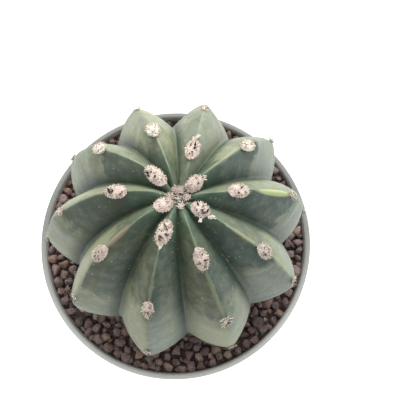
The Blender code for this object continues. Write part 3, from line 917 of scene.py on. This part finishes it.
DARK_WOOL = (0.200, 0.115, 0.080, 1.0)
OLD_WOOL = (0.740, 0.690, 0.530, 1.0)
WOOL_TONES = (
    (0.25, (0.460, 0.330, 0.290, 1.0)),
    (0.50, (0.640, 0.510, 0.455, 1.0)),
    (0.75, (0.700, 0.620, 0.540, 1.0)),
    (0.90, (0.780, 0.740, 0.640, 1.0)),
)
SHADED_WOOL = (0.500, 0.340, 0.300, 1.0)

wool_finish, tree, shader, place = new_finish("cream_wool", 0.95, 0.15)
wool_patches, wool_grain = uneven_tone(tree, place, 900.0, 3600.0)
wool_colour = toned(tree, DARK_WOOL, OLD_WOOL, WOOL_TONES)
wool_colour = blended(tree, times(tree, wool_patches, 0.22), wool_colour, SHADED_WOOL)
tree.links.new(wool_colour, shader.inputs["Base Color"])
bump(tree, shader, wool_grain, 0.7, 0.00025)
for piece in (wool, wool_hairs):
    piece.data.materials.append(wool_finish)
    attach(piece, "root")
    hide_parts("cactus")

# The spines: a few short dark needles in each areole's wool, and paler ones lower down, all grown from
# the crest beneath. They are copies of three tapered needles, from stout and straight to thin and bent.

# Each needle: its thickness and its bend
NEEDLES = ((0.22, 0.05), (0.13, 0.15), (0.10, 0.28))
spine_shapes = [hair_shape(5, 3, thickness, bend, 0.0) for thickness, bend in NEEDLES]
# Bold spines: rib and order down the rib, then for each cluster its place along and across, and how many
SPINE_CLUSTERS = {
    (9, 0): ((0.0012, -0.0004, 4), (0.0016, 0.0008, 2), (-0.0012, 0.0004, 1)),
    (4, 0): ((0.0018, 0.0006, 3), (0.0012, 0.0012, 1), (0.0004, 0.0, 1)),
    (2, 1): ((-0.0014, 0.0004, 2), (0.0016, 0.0, 1), (0.0002, -0.0008, 2), (0.0006, 0.0008, 1)),
    (1, 0): ((0.0012, -0.0004, 1),),
    (6, 0): (),
    (6, 1): (),
    (5, 1): ((-0.0014, 0.0004, 1), (0.0004, 0.0002, 2), (0.0018, 0.0002, 2)),
    (7, 0): (),
    (7, 1): (),
    (8, 1): (),
    (9, 1): (),
    (0, 1): ((0.0010, 0.0004, 1), (-0.0002, -0.0006, 1)),
}
# Spines that lie across the wool: rib and order down the rib, then for each its place, the way it points
# and its length
LYING_SPINES = {
    (7, 0): (
        (-0.0024, -0.0009, 0.9, 0.0012), (-0.0015, 0.0002, 0.7, 0.0012), (0.0002, 0.0005, 1.3, 0.0015),
        (0.0013, -0.0009, 1.25, 0.0016), (0.0023, -0.0008, 1.4, 0.0012),
    ),
    (8, 1): (
        (0.0006, 0.0006, 1.5, 0.0014), (0.0010, -0.0006, -1.7, 0.0012), (0.0019, 0.0002, 0.4, 0.0008),
    ),
    (9, 1): (
        (0.0003, 0.0011, 0.3, 0.0009), (0.0013, 0.0003, 2.2, 0.0008), (0.0007, -0.0009, 2.8, 0.0011),
        (-0.0009, -0.0008, 0.9, 0.0007), (-0.0013, 0.0005, 1.5, 0.0008),
    ),
    (6, 1): (
        (-0.0014, 0.0002, 2.6, 0.0008), (-0.0002, -0.0006, 2.4, 0.0008), (0.0004, 0.0003, 0.5, 0.0008),
        (0.0008, 0.0010, 0.8, 0.0008), (0.0014, -0.0004, 0.2, 0.0009),
    ),
    (9, 0): ((0.0002, 0.0009, 0.6, 0.0008), (-0.0008, -0.0008, 0.4, 0.0006)),
}
# How many fine spines lie in the wool of each kind of areole, and the kinds whose fine spines are paler
FINE_SPINES = {"bud": 0, "pad": 12, "ring": 12, "speckled": 26, "ragged": 14, "star": 12, "sparse": 6}
PALE_SPINED = ("star", "sparse", "speckled")
# How far a spine strays from its place, and how far down a rib the long needles begin
STRAY = 0.0006
LONG_NEEDLES_FROM = 0.0500


def off_centre(along, across_by, length, width):
    """How far out on an areole a spot is: 0 in its middle and 1 at its edge."""
    return min(1.0, math.hypot(along / length, across_by / width) * 2)


spine_places = []
for number, order, distance, seat, (length, width, height) in seats:
    kind = areole_kind(number, order, distance)
    clusters = SPINE_CLUSTERS.get((number, order))
    if clusters is None and kind in ("pad", "ring", "ragged"):
        clusters = tuple((draw.uniform(-0.0016, 0.0016), draw.uniform(-0.0010, 0.0010), 1) for _ in range(3))
    roots = []
    for along, across_by, count in clusters or ():
        for _ in range(count):
            astray, aside = draw.uniform(-STRAY, STRAY), draw.uniform(-STRAY, STRAY)
            roots.append((along + astray, across_by + aside, True))
    for _ in range(FINE_SPINES[kind]):
        around, out_by = draw.uniform(0.0, math.tau), math.sqrt(draw.random()) * 0.62
        roots.append((*place_on(around, out_by, length, width), False))
    if distance > LONG_NEEDLES_FROM:
        for across_by in [draw.uniform(-STRAY, STRAY) for _ in range(4)]:
            root = Matrix.Translation((length * 0.3, across_by, 0.0))
            lean = leaning(draw.uniform(-0.8, 0.8), draw.uniform(0.5, 1.0))
            size = Matrix.Scale(draw.uniform(0.0018, 0.0028), 4)
            spine_places.append((2, seat @ root @ lean @ size, 0.3))
    for along, across_by, facing, size in LYING_SPINES.get((number, order), ()):
        up = height * 0.50 * math.sqrt(1 - off_centre(along, across_by, length, width) ** 2) + 0.0002
        lean = leaning(facing, 1.35) @ Matrix.Scale(size, 4)
        spine_places.append((0, seat @ Matrix.Translation((along, across_by, up)) @ lean, 0.0))
    for along, across_by, bold in roots:
        off = off_centre(along, across_by, length, width)
        up = height * 0.44 * math.sqrt(1 - off**2)
        facing = math.atan2(across_by, along) + draw.uniform(-0.9, 0.9)
        if bold:
            tip_down, shape, size, tone = draw.uniform(0.1, 0.8), 0, draw.uniform(0.0011, 0.0016), 0.0
        else:
            tip_down, shape, size = draw.uniform(0.8, 1.3), draw.choice((1, 2)), draw.uniform(0.0005, 0.0010)
            tone = draw.uniform(0.60, 1.0) if kind in PALE_SPINED else draw.uniform(0.2, 0.8)
        lean = leaning(facing, tip_down + 0.3 * off)
        matrix = seat @ Matrix.Translation((along, across_by, up)) @ lean @ Matrix.Scale(size, 4)
        if kind == "star":
            tone, matrix = 0.2, matrix @ Matrix.Scale(1.6, 4)
        spine_places.append((shape, matrix, tone))
spines = strewn("dark_spines", spine_shapes, spine_places)

SPINE_BLACK = (0.012, 0.009, 0.008, 1.0)
SPINE_BROWN = (0.055, 0.028, 0.018, 1.0)
SPINE_TAN = (0.240, 0.170, 0.100, 1.0)

spine_finish, tree, shader, place = new_finish("dark_spines", 0.4, 0.4)
spine_patches, spine_grain = uneven_tone(tree, place, 700.0, 5000.0)
spine_colour = blended(tree, spine_patches, SPINE_BLACK, SPINE_BROWN)
tan = ramp(tree, attribute(tree, "tone"), 0.50, 1.0, 0.0, 0.85)
spine_colour = blended(tree, tan, spine_colour, SPINE_TAN)
tree.links.new(spine_colour, shader.inputs["Base Color"])
bump(tree, shader, spine_grain, 0.2, 0.00005)
spines.data.materials.append(spine_finish)
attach(spines, "root")
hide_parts("cactus")

# The lava grit: broken red-brown lava of 2 to 5 mm, strewn over the mix round the plant and heaped up
# towards the wall. Each grain is one of a few chips, turned its own way. They lie on a bed of crumbs that
# is painted dark, partly as painted shade in the gaps between the grains.

BED_HOLLOW = 0.0220
BED_FOOT = 0.0766
WALL_LEVEL = 0.0858
WALL_GAP = 0.0004
HEAP_START = 0.0360
HEAP_WIDTH = 0.0125
HEAP_HEIGHT = 0.0052
# The bed from its hollow outwards over the heap to the wall, and back: radius, height and rounding
BED_CORNERS = (
    (BED_HOLLOW, BED_FOOT, 0.0),
    (BED_HOLLOW, 0.0808, 0.0005),
    (0.0300, 0.0810, 0.0005),
    (HEAP_START, 0.0813, 0.0005),
    (0.0420, 0.0822, 0.0005),
    (0.0455, 0.0838, 0.0005),
    (inner_radius(WALL_LEVEL) - WALL_GAP, WALL_LEVEL, 0.0004),
    (inner_radius(BED_FOOT) - WALL_GAP, BED_FOOT, 0.0003),
    (BED_HOLLOW, BED_FOOT, 0.0),
)
bed = turned("grit_bed", rounded(BED_CORNERS), 160)
bed.data.shade_smooth()


def chip_shape(seed):
    """A rounded broken chip, about 1 across: a ball flattened against a few planes."""
    pick = random.Random(seed)
    bpy.ops.mesh.primitive_ico_sphere_add(subdivisions=2, radius=0.64)
    chip = bpy.context.object
    planes = []
    for _ in range(10):
        normal = Vector((pick.uniform(-1, 1), pick.uniform(-1, 1), pick.uniform(-1, 1))).normalized()
        planes.append((normal, pick.uniform(0.27, 0.46)))
    stretch = Vector((pick.uniform(0.9, 1.2), pick.uniform(0.8, 1.05), pick.uniform(0.70, 0.95)))
    for vertex in chip.data.vertices:
        for normal, reach in planes:
            over = vertex.co.dot(normal) - reach
            if over > 0.0:
                vertex.co -= normal * over * 0.97
        rough = 0.20 * noise.noise(vertex.co * 3.6 + Vector((seed, 0.0, 0.0)))
        vertex.co = vertex.co * (1.0 + rough) * stretch
    return shape_arrays(chip)


chips = [chip_shape(seed) for seed in range(14)]
plant_surface = surface_of(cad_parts["cactus"].data)
draw = random.Random(5)
# Each layer: its smallest and largest grain, how many are tried, how close they may lie, and its level.
# The first eighth of a layer's tries is along the wall.
LAYERS = (
    (0.0034, 0.0046, 5000, 0.39, 0.0814),
    (0.0022, 0.0034, 7000, 0.36, 0.0813),
    (0.0028, 0.0041, 3500, 0.43, 0.0829),
)
grains = []
for smallest, largest, tries, closeness, level in LAYERS:
    for attempt in range(tries):
        size = draw.uniform(smallest, largest)
        edge = inner_radius(WALL_LEVEL) - 0.0001 - size * 0.38
        away = edge if attempt < tries / 8 else math.sqrt(draw.uniform(0.024**2, edge**2))
        around = draw.uniform(0.0, math.tau)
        heaped = HEAP_HEIGHT * max(0.0, min(1.0, (away - HEAP_START) / HEAP_WIDTH))
        height = level + draw.uniform(-0.0005, 0.0005) + heaped
        spot = Vector((away * math.cos(around), away * math.sin(around), height))
        if any((spot - other).length < closeness * (size + other_size) for other, other_size in grains):
            continue
        near, normal, _, gap = plant_surface.find_nearest(spot)
        if (spot - near).dot(normal) < 0.0 or gap < size * 0.34:
            continue
        grains.append((spot, size))
grain_places = []
for spot, size in grains:
    turn = Euler((draw.uniform(-0.9, 0.9), draw.uniform(-0.9, 0.9), draw.uniform(0.0, math.tau)))
    matrix = Matrix.Translation(spot) @ turn.to_matrix().to_4x4() @ Matrix.Scale(size, 4)
    grain_places.append((draw.randrange(len(chips)), matrix, draw.random()))
grit = strewn("lava_grains", chips, grain_places)

DARK_LAVA = (0.085, 0.064, 0.062, 1.0)
PALE_LAVA = (0.360, 0.280, 0.220, 1.0)
LAVA_TONES = (
    (0.25, (0.185, 0.126, 0.116, 1.0)),
    (0.50, (0.255, 0.168, 0.152, 1.0)),
    (0.75, (0.225, 0.180, 0.178, 1.0)),
    (0.90, (0.300, 0.170, 0.135, 1.0)),
)
LAVA_DUST = (0.290, 0.235, 0.222, 1.0)
PORE_SHADE = (0.020, 0.014, 0.012, 1.0)
DARK_CRUMBS_AND_SHADE = (0.085, 0.060, 0.054, 1.0)
RED_CRUMBS_AND_SHADE = (0.170, 0.112, 0.100, 1.0)

grit_finish, tree, shader, place = new_finish("red_brown_lava", 0.9, 0.25)
grit_patches, grit_grain = uneven_tone(tree, place, 600.0, 3200.0)
lava = toned(tree, DARK_LAVA, PALE_LAVA, LAVA_TONES)
lava = blended(tree, times(tree, grit_patches, 0.40), lava, LAVA_DUST)
# Painted shade in the pores: the pits are darkened in the colour
pores = put(tree, "TexVoronoi", {"Vector": place, "Scale": 2100.0})
pitted = ramp(tree, pores.outputs["Distance"], 0.10, 0.45)
lava = blended(tree, pitted, PORE_SHADE, lava)
tree.links.new(lava, shader.inputs["Base Color"])
pore_relief = bump(tree, shader, pitted, 0.7, 0.0003)
bump(tree, shader, grit_grain, 0.5, 0.0002, under=pore_relief)
grit.data.materials.append(grit_finish)

# The bed is painted darker than the grains, partly its crumbs' own colour and partly painted shade in the
# gaps
bed_finish, tree, shader, place = new_finish("grit_crumbs_and_shade", 0.95, 0.2)
bed_patches = uneven_tone(tree, place, 700.0, 2600.0)[0]
crumbs = put(tree, "TexVoronoi", {"Vector": place, "Scale": 800.0})
crumbs_and_gap_shade = blended(tree, bed_patches, DARK_CRUMBS_AND_SHADE, RED_CRUMBS_AND_SHADE)
tree.links.new(crumbs_and_gap_shade, shader.inputs["Base Color"])
bump(tree, shader, crumbs.outputs["Distance"], 0.9, 0.0008)
bed.data.materials.append(bed_finish)
for piece in (grit, bed):
    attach(piece, "root")
    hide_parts("lava_grit")
